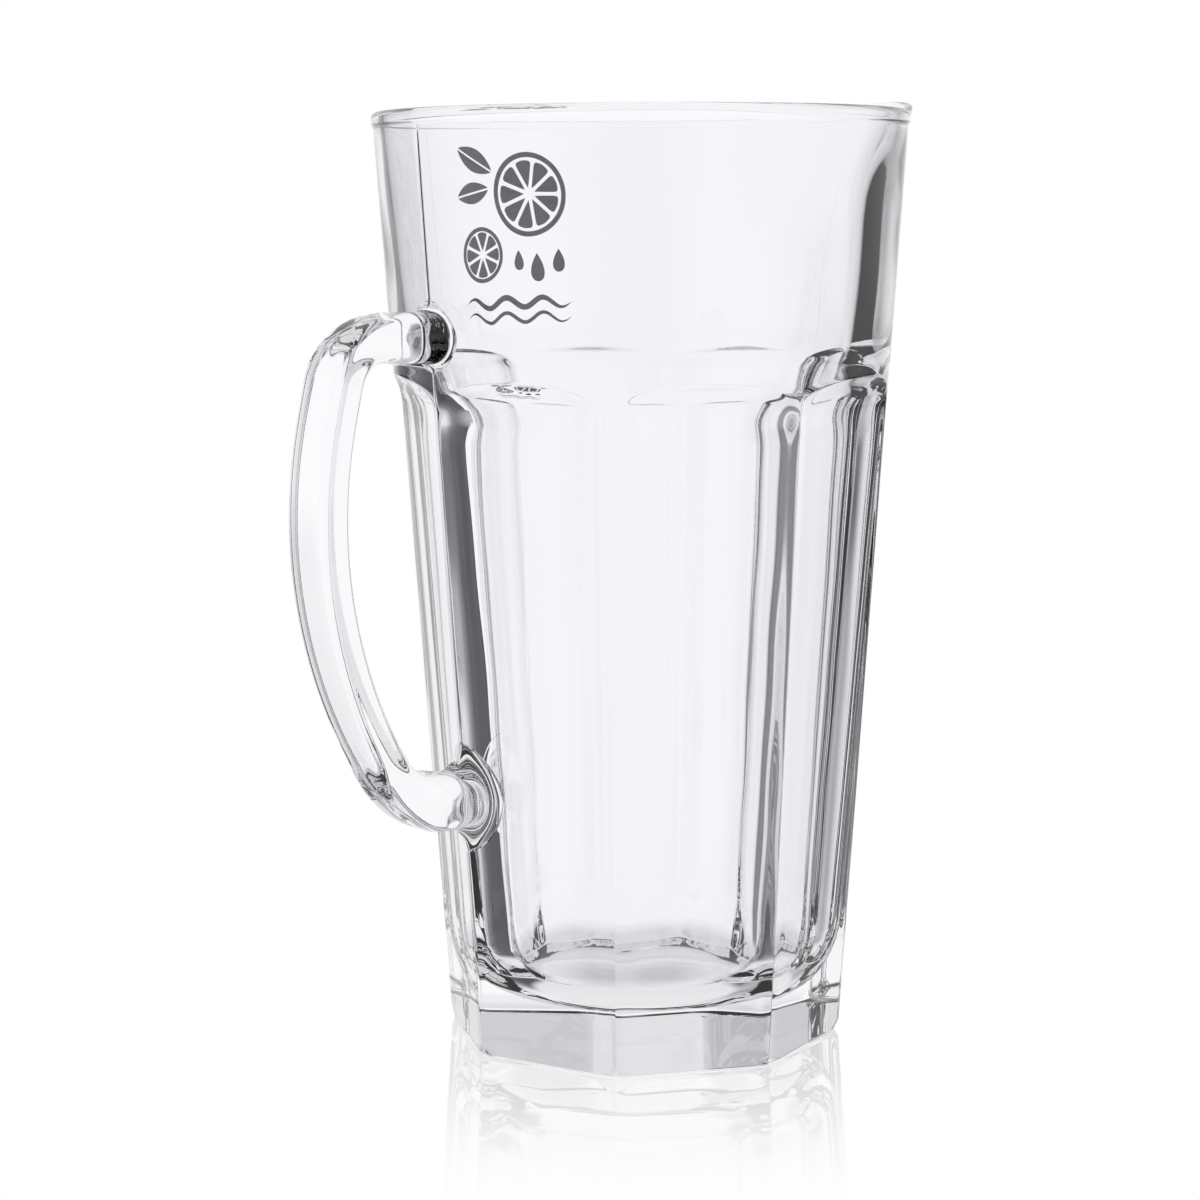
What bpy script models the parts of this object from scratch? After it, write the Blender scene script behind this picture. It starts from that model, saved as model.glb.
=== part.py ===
"""A pressed glass lemonade pitcher: a vessel with an eight-sided lower body and a pulled spout,
and a glass handle that is pressed on its own and fused to the vessel at two places.

The vessel's axis is Z, its underside lies on z = 0, the spout points to +X and the handle to -X.
"""
import math

import bmesh
import bpy
import numpy as np

OBJECT_NAME = "lemonade_pitcher"

# Vessel, outside
RIM_HEIGHT = 0.235
FOOT_RADIUS = 0.0511
RIM_RADIUS = 0.0672
FOOT_ROUNDING = 0.003
BEAD_THICKNESS = 0.0031
BEAD_HEIGHT = 0.0042
BEAD_ROUNDING = 0.49 * BEAD_THICKNESS
BEAD_NECK_ROUNDING = 0.0018

# Vessel, inside
UPPER_WALL = 0.0026
SHOULDER_WALL = 0.0042
FACET_WALL = 0.0045
FOOT_WALL = 0.0076
FLOOR_THICKNESS = 0.0130
FLOOR_FILLET = 0.0160
SHOULDER_DROP = 0.0040
SHOULDER_RISE = 0.0190
SHOULDER_ROUNDING = 0.0210

# Eight flat facets that run out in a cove at the top
FACET_COUNT = 8
RIDGE_WIDTH = 0.0010
FACET_TOP = 0.1612
COVE_RADIUS = 0.0100
FACET_FOOT_CHAMFER = 0.0012
CUTTER_REACH = 0.0900

# Spout
SPOUT_REACH = 0.0170
SPOUT_RISE = 0.0038
SPOUT_HALF_ANGLE = math.radians(34.0)
SPOUT_ABOVE_COVE = 0.0010
SPOUT_LEAN = 3.2
LIP_CURL = 5.0

# The upper wall is a little thicker on the spout's side
SPOUT_WALL_EXTRA = 0.00105
SPOUT_WALL_FULL_TO = math.radians(59.0)
SPOUT_WALL_ENDS = math.radians(78.0)
SPOUT_WALL_FADE = 0.0230

# Handle centre line: heights, distances out from the vessel's wall, and the radius of each bend
UPPER_ARM_HEIGHT = 0.1806
BULGE_HEIGHT = 0.1209
LOWER_ARM_HEIGHT = 0.0669
UPPER_ARM_REACH = 0.0254
BULGE_REACH = 0.0433
LOWER_ARM_REACH = 0.0185
UPPER_BEND_RADIUS = 0.0130
GRIP_RADIUS = 0.1150
LOWER_BEND_RADIUS = 0.0200
ROOT_DEPTH = 0.0100

# Handle section
HANDLE_WIDTH = 0.0171
GRIP_THICKNESS = 0.0084
UPPER_ARM_THICKNESS = 0.0125
LOWER_ARM_THICKNESS = 0.0142
UPPER_JOINT_FLARE = 0.0014
LOWER_JOINT_FLARE = 0.0034
GRIP_SQUARENESS = 5.0
JOINT_SQUARENESS = 2.2
JOINT_ROUND_TO = 0.0040
JOINT_SQUARE_FROM = 0.0160
ARM_FULL_TO = 0.0100
GRIP_SLIM_FROM = 0.0260

# Air between the two pieces, which are one piece of glass on the real pitcher
JOINT_CLEARANCE = 0.0003

# Smoothness of the meshes
TURN_STEPS = 72
ARC_STEP = math.radians(15.0)
ARC_CHORD = 0.0050
SPOUT_ROWS = 9
HANDLE_RINGS = 64
HANDLE_SIDES = 28


def ease(value, start, end):
    """A smooth step from 0 at start to 1 at end."""
    share = np.clip((value - start) / (end - start), 0.0, 1.0)
    return share * share * (3.0 - 2.0 * share)


def cone_radius(height):
    """Radius of the plain cone that the round upper body and all eight ridges lie on."""
    return FOOT_RADIUS + (RIM_RADIUS - FOOT_RADIUS) * height / RIM_HEIGHT


def facet_distance(height):
    """Distance of a facet's plane from the axis, so that a ridge of RIDGE_WIDTH is left at each corner."""
    ridge_half_angle = 0.5 * RIDGE_WIDTH / cone_radius(height)
    return cone_radius(height) * math.cos(math.pi / FACET_COUNT - ridge_half_angle)


def spout_bottom():
    """Height where the spout's channel starts, just above the coves."""
    return FACET_TOP + COVE_RADIUS + SPOUT_ABOVE_COVE


def shoulder_heights():
    """Heights between which the inside widens from the faceted body to the round upper body."""
    low = FACET_TOP - SHOULDER_DROP
    return low, low + SHOULDER_RISE


def neck_height():
    """Height where the rim's bead starts to stand out from the wall."""
    return RIM_HEIGHT - BEAD_HEIGHT - BEAD_NECK_ROUNDING


def upper_inner_radius(height):
    """Inner radius above the shoulder, where the wall thins evenly from the shoulder to the bead."""
    shoulder = shoulder_heights()[1]
    share = (height - shoulder) / (neck_height() - shoulder)
    return cone_radius(height) - SHOULDER_WALL + (SHOULDER_WALL - UPPER_WALL) * share


def rounded_path(corners):
    """Points of a path through (across, up, radius) corners, with each bend drawn as an arc."""
    spots = [np.array(corner[:2]) for corner in corners]
    path = [spots[0]]
    for before, spot, after, corner in zip(spots, spots[1:], spots[2:], corners[1:-1]):
        radius = corner[2]
        to_before = (before - spot) / np.linalg.norm(before - spot)
        to_after = (after - spot) / np.linalg.norm(after - spot)
        turn = math.pi - math.acos(np.clip(to_before @ to_after, -1.0, 1.0))
        if radius == 0.0:
            path.append(spot)
            continue
        start = spot + to_before * radius * math.tan(0.5 * turn)
        towards_centre = (to_before + to_after) / np.linalg.norm(to_before + to_after)
        centre = spot + towards_centre * radius / math.cos(0.5 * turn)
        spoke = start - centre
        side = math.copysign(1.0, to_before[1] * to_after[0] - to_before[0] * to_after[1])
        steps = max(2, math.ceil(turn / ARC_STEP), math.ceil(turn * radius / ARC_CHORD))
        for step in range(steps + 1):
            angle = side * turn * step / steps
            across = spoke[0] * math.cos(angle) - spoke[1] * math.sin(angle)
            up = spoke[0] * math.sin(angle) + spoke[1] * math.cos(angle)
            path.append(centre + np.array((across, up)))
    path.append(spots[-1])
    return path


def wall_rows():
    """Heights of the rows in the upper wall that bend smoothly when the spout is pulled out of it."""
    return np.linspace(spout_bottom(), RIM_HEIGHT - 2.0 * BEAD_HEIGHT, SPOUT_ROWS)


def outer_corners(growth):
    """Corners of the vessel's outer profile from the bead down to the axis, grown outward."""
    bead_bottom = RIM_HEIGHT - BEAD_HEIGHT
    bead_edge = RIM_RADIUS - 0.5 * UPPER_WALL + 0.5 * BEAD_THICKNESS + growth
    return [
        (bead_edge, RIM_HEIGHT + growth, BEAD_ROUNDING),
        (bead_edge, bead_bottom, BEAD_NECK_ROUNDING),
        (cone_radius(neck_height()) + growth, neck_height(), BEAD_NECK_ROUNDING),
        *((cone_radius(row) + growth, row, 0.0) for row in wall_rows()[::-1]),
        (FOOT_RADIUS + growth, -growth, FOOT_ROUNDING),
        (0.0, -growth, 0.0),
    ]


def inner_corners():
    """Corners of the vessel's inner profile from the middle of the floor up to the bead."""
    bead_bottom = RIM_HEIGHT - BEAD_HEIGHT
    bead_edge = RIM_RADIUS - 0.5 * UPPER_WALL - 0.5 * BEAD_THICKNESS
    shoulder_low, shoulder_high = shoulder_heights()
    straight_from = shoulder_high + 0.5 * SHOULDER_ROUNDING
    return [
        (0.0, FLOOR_THICKNESS, 0.0),
        (facet_distance(FLOOR_THICKNESS) - FOOT_WALL, FLOOR_THICKNESS, FLOOR_FILLET),
        (facet_distance(shoulder_low) - FACET_WALL, shoulder_low, SHOULDER_ROUNDING),
        (upper_inner_radius(shoulder_high), shoulder_high, SHOULDER_ROUNDING),
        *((upper_inner_radius(row), row, 0.0) for row in wall_rows() if row > straight_from),
        (upper_inner_radius(neck_height()), neck_height(), BEAD_NECK_ROUNDING),
        (bead_edge, bead_bottom, BEAD_NECK_ROUNDING),
        (bead_edge, RIM_HEIGHT, BEAD_ROUNDING),
    ]


def clear_scene():
    """Remove every object and start two collections, one for the parts and one for their cutters."""
    for item in list(bpy.data.objects):
        bpy.data.objects.remove(item, do_unlink=True)
    collections = []
    for name in (OBJECT_NAME, OBJECT_NAME + "_cutters"):
        collection = bpy.data.collections.new(name)
        bpy.context.scene.collection.children.link(collection)
        collections.append(collection)
    return collections


def glass_material(name, colour, roughness):
    """Clear glass as a Principled BSDF."""
    material = bpy.data.materials.new(name)
    material.use_nodes = True
    shader = material.node_tree.nodes["Principled BSDF"]
    shader.inputs["Base Color"].default_value = (*colour, 1.0)
    shader.inputs["Roughness"].default_value = roughness
    shader.inputs["Metallic"].default_value = 0.0
    shader.inputs["IOR"].default_value = 1.51
    shader.inputs["Transmission Weight"].default_value = 1.0
    return material


def add_object(name, mesh, collection):
    """Link a mesh to a collection as a named object."""
    item = bpy.data.objects.new(name, mesh)
    collection.objects.link(item)
    return item


def evaluated_mesh(item, name):
    """The object's mesh with its modifiers applied and its doubled points welded; the object is removed."""
    mesh = bpy.data.meshes.new_from_object(item.evaluated_get(bpy.context.evaluated_depsgraph_get()))
    mesh.name = name
    bpy.data.objects.remove(item, do_unlink=True)
    work = bmesh.new()
    work.from_mesh(mesh)
    bmesh.ops.remove_doubles(work, verts=work.verts, dist=1e-6)
    bmesh.ops.recalc_face_normals(work, faces=work.faces)
    work.to_mesh(mesh)
    work.free()
    return mesh


def turned_mesh(name, path, collection):
    """Turn a profile of (radius, height) points about Z with a Screw modifier."""
    profile = bpy.data.meshes.new(name + "_profile")
    points = [(radius, 0.0, height) for radius, height in path]
    profile.from_pydata(points, [(i, i + 1) for i in range(len(points) - 1)], [])
    item = add_object(name + "_profile", profile, collection)
    screw = item.modifiers.new("turn", "SCREW")
    screw.axis = "Z"
    screw.steps = TURN_STEPS
    screw.render_steps = TURN_STEPS
    screw.use_merge_vertices = True
    screw.merge_threshold = 1e-6
    bpy.context.view_layer.update()
    return evaluated_mesh(item, name)


def thicken_spout_side(mesh):
    """Move the inside of the upper wall inwards round +X, easing out to both sides, the shoulder and the bead."""
    low, high = shoulder_heights()
    bead_bottom = RIM_HEIGHT - BEAD_HEIGHT
    for vertex in mesh.vertices:
        point = vertex.co
        radius = math.hypot(point.x, point.y)
        if not low < point.z < bead_bottom or radius > cone_radius(point.z) - 0.5 * UPPER_WALL:
            continue
        share = ease(point.z, low, high) * (1.0 - ease(point.z, RIM_HEIGHT - SPOUT_WALL_FADE, bead_bottom))
        share *= 1.0 - ease(abs(math.atan2(point.y, point.x)), SPOUT_WALL_FULL_TO, SPOUT_WALL_ENDS)
        shrink = 1.0 - SPOUT_WALL_EXTRA * share / radius
        point.x *= shrink
        point.y *= shrink


def pull_spout(mesh):
    """Push the upper wall out and up around +X, most at the rim and fading to nothing above the coves."""
    bottom = spout_bottom()
    for vertex in mesh.vertices:
        point = vertex.co
        climb = (point.z - bottom) / (RIM_HEIGHT - bottom)
        turn = abs(math.atan2(point.y, point.x)) / SPOUT_HALF_ANGLE
        radius = math.hypot(point.x, point.y)
        if climb <= 0.0 or turn >= 1.0 or radius == 0.0:
            continue
        share = math.cos(0.5 * math.pi * turn) ** 2
        stretch = 1.0 + SPOUT_REACH * share * climb ** SPOUT_LEAN / radius
        point.x *= stretch
        point.y *= stretch
        point.z += SPOUT_RISE * share * climb ** LIP_CURL


def facet_cutter(index, growth, collection):
    """A block whose inner face is one facet's plane, with the cove above it and the chamfer at the foot."""
    foot = facet_distance(0.0) + growth
    lean = (facet_distance(FACET_TOP) - facet_distance(0.0)) / FACET_TOP
    chamfer_top = FACET_FOOT_CHAMFER - growth
    outline = [
        (foot - FACET_FOOT_CHAMFER - growth, -growth),
        (foot + lean * chamfer_top, chamfer_top),
        (foot + lean * FACET_TOP, FACET_TOP),
    ]
    centre = foot + lean * FACET_TOP + COVE_RADIUS
    quarter_steps = math.ceil(0.5 * math.pi / ARC_STEP) * 2
    for step in range(1, quarter_steps + 1):
        angle = 0.5 * math.pi * step / quarter_steps
        across = centre - COVE_RADIUS * math.cos(angle)
        outline.append((across, FACET_TOP + COVE_RADIUS * math.sin(angle)))
    outline.append((CUTTER_REACH, FACET_TOP + COVE_RADIUS))
    outline.append((CUTTER_REACH, -CUTTER_REACH))
    outline.append((foot - FACET_FOOT_CHAMFER - growth, -CUTTER_REACH))
    curve = bpy.data.curves.new(f"facet_outline_{index}", "CURVE")
    curve.dimensions = "2D"
    curve.fill_mode = "BOTH"
    curve.extrude = 0.5 * CUTTER_REACH
    spline = curve.splines.new("POLY")
    spline.points.add(len(outline) - 1)
    for point, (across, up) in zip(spline.points, outline):
        point.co = (across, up, 0.0, 1.0)
    spline.use_cyclic_u = True
    item = add_object(f"facet_outline_{index}", curve, collection)
    bpy.context.view_layer.update()
    cutter = add_object(f"facet_cutter_{index}", evaluated_mesh(item, f"facet_cutter_{index}"), collection)
    cutter.rotation_euler = (0.5 * math.pi, 0.0, 2.0 * math.pi * (index + 0.5) / FACET_COUNT)
    hide_cutter(cutter)
    return cutter


def hide_cutter(item):
    """Show a cutter as wires and keep it out of renders."""
    item.display_type = "WIRE"
    item.hide_render = True


def cut(item, cutter):
    """Take one object's volume out of another."""
    boolean = item.modifiers.new(cutter.name, "BOOLEAN")
    boolean.operation = "DIFFERENCE"
    boolean.solver = "EXACT"
    boolean.object = cutter


def make_vessel(parts, cutters):
    """The glass vessel: one turned wall, its spout pulled by hand, and eight facets pressed into it."""
    path = rounded_path(inner_corners() + outer_corners(0.0))
    mesh = turned_mesh("vessel", path, cutters)
    thicken_spout_side(mesh)
    pull_spout(mesh)
    mesh.materials.append(glass_material("clear_glass", (0.93, 0.95, 0.94), 0.02))
    vessel = add_object("vessel", mesh, parts)
    for index in range(FACET_COUNT):
        cut(vessel, facet_cutter(index, 0.0, cutters))
    return vessel


def make_seat(cutters):
    """The vessel's outside, grown by the clearance, which shapes the handle's two ends."""
    rim_centre = [(0.0, RIM_HEIGHT + JOINT_CLEARANCE, 0.0)]
    path = rounded_path(rim_centre + outer_corners(JOINT_CLEARANCE))
    seat = add_object("handle_seat", turned_mesh("handle_seat", path, cutters), cutters)
    for index in range(FACET_COUNT):
        cut(seat, facet_cutter(FACET_COUNT + index, JOINT_CLEARANCE, cutters))
    hide_cutter(seat)
    return seat


def handle_path():
    """Centre line of the handle as evenly spaced (distance out, height) points, from the upper root down."""
    upper_wall = cone_radius(UPPER_ARM_HEIGHT)
    lower_wall = cone_radius(LOWER_ARM_HEIGHT)
    corners = [
        (upper_wall - ROOT_DEPTH, UPPER_ARM_HEIGHT, 0.0),
        (upper_wall + UPPER_ARM_REACH, UPPER_ARM_HEIGHT, UPPER_BEND_RADIUS),
        (cone_radius(BULGE_HEIGHT) + BULGE_REACH, BULGE_HEIGHT, GRIP_RADIUS),
        (lower_wall + LOWER_ARM_REACH, LOWER_ARM_HEIGHT, LOWER_BEND_RADIUS),
        (lower_wall - ROOT_DEPTH, LOWER_ARM_HEIGHT, 0.0),
    ]
    path = np.array(rounded_path(corners))
    run = np.concatenate(([0.0], np.cumsum(np.linalg.norm(np.diff(path, axis=0), axis=1))))
    even = np.linspace(0.0, run[-1], HANDLE_RINGS)
    return np.stack((np.interp(even, run, path[:, 0]), np.interp(even, run, path[:, 1])), axis=1)


def handle_mesh():
    """Loft the handle: a rounded bar on the grip that turns into a fuller, rounder arm at each end.

    A section's half sizes are a and b, and its points are a cos^(2/n) and b sin^(2/n), a superellipse
    whose power n falls from the grip to the joints. Each arm widens in a fillet where it meets the vessel.
    """
    path = handle_path()
    out, up = path[:, 0], path[:, 1]
    along = np.gradient(path, axis=0)
    along /= np.linalg.norm(along, axis=1)[:, None]
    upper = ease(up, LOWER_ARM_HEIGHT, UPPER_ARM_HEIGHT)
    arm_thickness = LOWER_ARM_THICKNESS + (UPPER_ARM_THICKNESS - LOWER_ARM_THICKNESS) * upper
    flare = LOWER_JOINT_FLARE + (UPPER_JOINT_FLARE - LOWER_JOINT_FLARE) * upper
    clear = out - cone_radius(up)
    joint = 1.0 - ease(clear, JOINT_ROUND_TO, JOINT_SQUARE_FROM)
    arm = 1.0 - ease(clear, ARM_FULL_TO, GRIP_SLIM_FROM)
    closeness = np.clip(flare - clear, 0.0, flare)
    fillet = flare - np.sqrt(flare ** 2 - closeness ** 2)
    half_width = 0.5 * HANDLE_WIDTH + fillet
    half_thickness = 0.5 * (GRIP_THICKNESS + (arm_thickness - GRIP_THICKNESS) * arm) + fillet
    power = 2.0 / (GRIP_SQUARENESS + (JOINT_SQUARENESS - GRIP_SQUARENESS) * joint)
    angles = 2.0 * np.pi * np.arange(HANDLE_SIDES) / HANDLE_SIDES
    work = bmesh.new()
    rings = []
    for i in range(HANDLE_RINGS):
        aside = half_width[i] * np.sign(np.cos(angles)) * np.abs(np.cos(angles)) ** power[i]
        lift = half_thickness[i] * np.sign(np.sin(angles)) * np.abs(np.sin(angles)) ** power[i]
        outs = out[i] - along[i, 1] * lift
        ups = up[i] + along[i, 0] * lift
        rings.append([work.verts.new((-x, y, z)) for x, y, z in zip(outs, aside, ups)])
    for ring, following in zip(rings, rings[1:]):
        for j in range(HANDLE_SIDES):
            k = (j + 1) % HANDLE_SIDES
            work.faces.new((ring[j], ring[k], following[k], following[j]))
    work.faces.new(rings[0])
    work.faces.new(rings[-1])
    bmesh.ops.recalc_face_normals(work, faces=work.faces)
    mesh = bpy.data.meshes.new("handle")
    work.to_mesh(mesh)
    work.free()
    return mesh


def make_handle(parts, cutters):
    """The glass handle, with both ends shaped to the vessel."""
    mesh = handle_mesh()
    mesh.materials.append(glass_material("clear_glass_handle", (0.92, 0.95, 0.93), 0.02))
    handle = add_object("handle", mesh, parts)
    cut(handle, make_seat(cutters))
    return handle


def main():
    """Build the two pieces of the pitcher."""
    parts, cutters = clear_scene()
    make_vessel(parts, cutters)
    make_handle(parts, cutters)


main()
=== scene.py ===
"""Looks of a pressed glass lemonade pitcher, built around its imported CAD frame.

The axis is Z, the underside lies on z = 0, the spout points to +X and the handle to -X.
All lengths are in metres, apart from the print's own tables.
"""
import math

import bpy
import numpy as np
from mathutils import Matrix


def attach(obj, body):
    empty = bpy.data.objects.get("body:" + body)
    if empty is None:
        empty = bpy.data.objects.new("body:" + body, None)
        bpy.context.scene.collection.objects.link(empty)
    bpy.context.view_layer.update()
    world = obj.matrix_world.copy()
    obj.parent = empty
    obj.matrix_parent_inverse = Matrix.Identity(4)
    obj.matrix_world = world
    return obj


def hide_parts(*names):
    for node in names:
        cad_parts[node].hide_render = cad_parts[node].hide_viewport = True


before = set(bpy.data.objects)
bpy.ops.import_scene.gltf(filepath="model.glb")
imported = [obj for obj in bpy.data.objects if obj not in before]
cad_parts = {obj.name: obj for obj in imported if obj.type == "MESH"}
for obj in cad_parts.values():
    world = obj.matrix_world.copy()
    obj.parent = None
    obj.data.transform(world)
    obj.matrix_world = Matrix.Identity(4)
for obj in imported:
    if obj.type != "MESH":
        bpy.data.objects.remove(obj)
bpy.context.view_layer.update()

MM = 0.001
FULL_TURN = 2.0 * math.pi
WHITE = (1.0, 1.0, 1.0, 1.0)
SMOOTH_STEP = {"interpolation_type": "SMOOTHSTEP"}

# Vessel, the same values as in the CAD
RIM_HEIGHT = 0.235
FOOT_RADIUS = 0.0511
RIM_RADIUS = 0.0672
FOOT_ROUNDING = 0.003
BEAD_THICKNESS = 0.0031
BEAD_ROUNDING = 0.49 * BEAD_THICKNESS
UPPER_WALL = 0.0026
SHOULDER_WALL = 0.0042
FACET_WALL = 0.0045
FOOT_WALL = 0.0076
FLOOR_THICKNESS = 0.0130
FLOOR_FILLET = 0.0160
SHOULDER_DROP = 0.0040
SHOULDER_RISE = 0.0190
SHOULDER_ROUNDING = 0.0210
SPOUT_WALL_EXTRA = 0.00105
SPOUT_WALL_FULL_TO = math.radians(59.0)
SPOUT_WALL_ENDS = math.radians(78.0)
SPOUT_WALL_FADE = 0.0230
FACETS = 8
RIDGE_WIDTH = 0.0010
FACET_TOP = 0.1612
COVE_RADIUS = 0.0100
SPOUT_REACH = 0.0170
SPOUT_RISE = 0.0038
SPOUT_HALF_ANGLE = math.radians(34.0)
SPOUT_ABOVE_COVE = 0.0010
SPOUT_LEAN = 3.2
LIP_CURL = 5.0
HALF_FACET = math.pi / FACETS
FACET_STEP = FULL_TURN / FACETS
SHOULDER_LOW = FACET_TOP - SHOULDER_DROP
SHOULDER_HIGH = SHOULDER_LOW + SHOULDER_RISE
SPOUT_BOTTOM = FACET_TOP + COVE_RADIUS + SPOUT_ABOVE_COVE

# Handle, the same values as in the CAD
UPPER_ARM_HEIGHT = 0.1806
BULGE_HEIGHT = 0.1209
LOWER_ARM_HEIGHT = 0.0669
UPPER_ARM_REACH = 0.0254
BULGE_REACH = 0.0433
LOWER_ARM_REACH = 0.0185
UPPER_BEND_RADIUS = 0.0130
GRIP_RADIUS = 0.1150
LOWER_BEND_RADIUS = 0.0200
HANDLE_WIDTH = 0.0171
GRIP_THICKNESS = 0.0084
UPPER_ARM_THICKNESS = 0.0125
LOWER_ARM_THICKNESS = 0.0142
UPPER_JOINT_FLARE = 0.0014
LOWER_JOINT_FLARE = 0.0034
GRIP_SQUARENESS = 5.0
JOINT_SQUARENESS = 2.2
JOINT_ROUND_TO = 0.0040
JOINT_SQUARE_FROM = 0.0160
ARM_FULL_TO = 0.0100
GRIP_SLIM_FROM = 0.0260

# Surface that only the looks have; the bead is lower and its neck crisper than in the CAD
EDGE_SOFTNESS = 0.0009
BEAD_HEIGHT = 0.0031
BEAD_NECK_ROUNDING = 0.0007
FOOT_EDGE_ROUNDING = 0.0010
MOULD_SEAM_WIDTH = 0.0008
HANDLE_SEAM_HEIGHT = 0.00022
SPOUT_SEAM_HEIGHT = 0.00008
COLLAR_CLEARANCE = 0.0078
COLLAR_DEPTH = 0.00030
COLLAR_WIDTH = 0.0010

# Waves of the pressed inside, as (share of the height, waves per turn, length, phase), and where they fade
WAVE_HEIGHT = 0.00005
WAVES = ((0.5, 6.0, 0.071, 0.4), (0.3, 11.0, -0.043, 1.9), (0.2, 17.0, 0.031, 4.1))
WAVES_GROW = (0.020, 0.045)
WAVES_FADE = (0.212, 0.229)

# Where the handle is fused on: how many flares the footprint is taller than the bar, how square it is, and
# how far from the wall the fillet ends
UPPER_FOOT_FLARES = 1.8
UPPER_FOOT_SQUARENESS = 1.75
LOWER_FOOT_FLARES = 2.0
LOWER_FOOT_SQUARENESS = 1.6
UPPER_FILLET_REACH = 0.0028
LOWER_FILLET_REACH = 0.0052
FOOT_WAY_SCALE = 0.98
TURN_EASE_LENGTH = 0.045
SEAM_SCALES = np.array((0.8, 0.6, 0.4, 0.2))

# Rows, columns and steps of the grids
COLUMNS_PER_HALF_FACET = 20
COLUMN_CROWDING = 0.85
WINDOW_COLUMNS = 18
WINDOW_ROWS = 24
LOWER_WINDOW = (0.0480, 0.0858)
UPPER_WINDOW = (0.1713, 0.1900)
LEVEL_ROWS_END = 0.150
FOOT_EDGE_ROWS = 6
FOOT_ROWS = 5
SKIRT_ROWS = 11
FLANK_ROWS = 14
NECK_ROWS = 14
UNDERSIDE_SHARES = np.array((0.2, 0.4, 0.6, 0.8, 0.93))
ARCH_SHARES = np.array((0.15, 0.3, 0.42, 0.52, 0.61, 0.69, 0.76, 0.82, 0.87, 0.91, 0.945, 0.975, 1.0))
ABOVE_ARCH_SHARES = np.array((0.12, 0.3, 0.6, 1.0))
ARCH_HALVINGS = 24
PROFILE_ARC_STEP = math.radians(7.5)
PROFILE_SHORTEST = 0.02 * MM
PROFILE_LONGEST = 0.0045
JOINT_RINGS = 8
HANDLE_ARC_STEP = math.radians(2.0)
HANDLE_RINGS = 112
COLLAR_RINGS = 13
COLLAR_SPREAD = 0.75
UPPER_FILLET_STEPS = 10
LOWER_FILLET_STEPS = 14


def linear(hex_colour):
    """An sRGB hex colour as linear RGBA."""
    channels = np.array([int(hex_colour[i:i + 2], 16) for i in (1, 3, 5)]) / 255.0
    curve = np.where(channels <= 0.04045, channels / 12.92, ((channels + 0.055) / 1.055) ** 2.4)
    return (*curve.tolist(), 1.0)


def add_node(tree, kind, settings=None, inputs=None, stops=()):
    """One node with its own settings, inputs and, on a ramp, stops.

    An input is a plain value or another node's output socket, and a stop is a place and a colour.
    """
    made = tree.nodes.new(kind)
    for name, value in (settings or {}).items():
        setattr(made, name, value)
    for name, value in (inputs or {}).items():
        if isinstance(value, bpy.types.NodeSocket):
            tree.links.new(value, made.inputs[name])
        else:
            made.inputs[name].default_value = value
    for place, _ in stops[2:]:
        made.color_ramp.elements.new(place)
    for number, (place, colour) in enumerate(stops):
        made.color_ramp.elements[number].position = place
        made.color_ramp.elements[number].color = colour
    return made


def empty_material(name):
    """A new material and its node tree, with no node in it yet."""
    material = bpy.data.materials.new(name)
    material.use_nodes = True
    material.node_tree.nodes.clear()
    return material, material.node_tree


def ease(value, start, end):
    """A smooth step from 0 at start to 1 at end."""
    share = np.clip((value - start) / (end - start), 0.0, 1.0)
    return share * share * (3.0 - 2.0 * share)


def cone_radius(height):
    """Radius that grows evenly with height, from the foot to the rim."""
    return FOOT_RADIUS + (RIM_RADIUS - FOOT_RADIUS) * height / RIM_HEIGHT


def facet_distance(height):
    """Cone radius times the cosine of half a facet, less the half ridge that is left at each corner."""
    cone = cone_radius(height)
    return cone * np.cos(HALF_FACET - 0.5 * RIDGE_WIDTH / cone)


def soft_least(first, second, width):
    """The lesser of two values, rounded by a parabola where they are closer than width."""
    closeness = np.clip(1.0 - np.abs(first - second) / width, 0.0, 1.0)
    return np.minimum(first, second) - 0.25 * width * closeness ** 2


def facet_turn(angle):
    """Angle from the middle of the nearest facet; the ridges lie on multiples of an eighth turn."""
    return np.mod(angle, FACET_STEP) - HALF_FACET


def cove_depth(height):
    """How far a facet's run-out has curved outwards: a quarter circle that starts at FACET_TOP."""
    lift = np.clip(height - FACET_TOP, 0.0, COVE_RADIUS)
    return COVE_RADIUS - np.sqrt(COVE_RADIUS ** 2 - lift ** 2)


def outer_radius(angle, height):
    """Radius of the outside: the lesser of the cone and the facet plane over the cosine of its turn.

    The mould's two halves met at the spout and at the handle, where a fine raised line is left.
    """
    foot = np.clip(1.0 - height / FOOT_ROUNDING, 0.0, 1.0)
    cone = cone_radius(height) - FOOT_ROUNDING * (1.0 - np.sqrt(1.0 - foot ** 2))
    plane = facet_distance(np.minimum(height, FACET_TOP)) + cove_depth(height)
    seam = np.abs(np.mod(angle + 0.5 * math.pi, math.pi) - 0.5 * math.pi) * cone / MOULD_SEAM_WIDTH
    tall = np.where(np.cos(angle) < 0.0, HANDLE_SEAM_HEIGHT, SPOUT_SEAM_HEIGHT)
    raised = tall * np.clip(1.0 - 2.0 * seam, 0.0, 1.0)
    return soft_least(cone + raised, plane / np.cos(facet_turn(angle)), EDGE_SOFTNESS)


def arch_height(angle):
    """Height where a facet's cove runs out into the cone, found by halving the span again and again."""
    low = np.full_like(angle, FACET_TOP)
    high = np.full_like(angle, FACET_TOP + COVE_RADIUS)
    for _ in range(ARCH_HALVINGS):
        middle = 0.5 * (low + high)
        plane = facet_distance(FACET_TOP) + cove_depth(middle)
        below = plane / np.cos(facet_turn(angle)) < cone_radius(middle)
        low = np.where(below, middle, low)
        high = np.where(below, high, middle)
    return low


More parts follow.
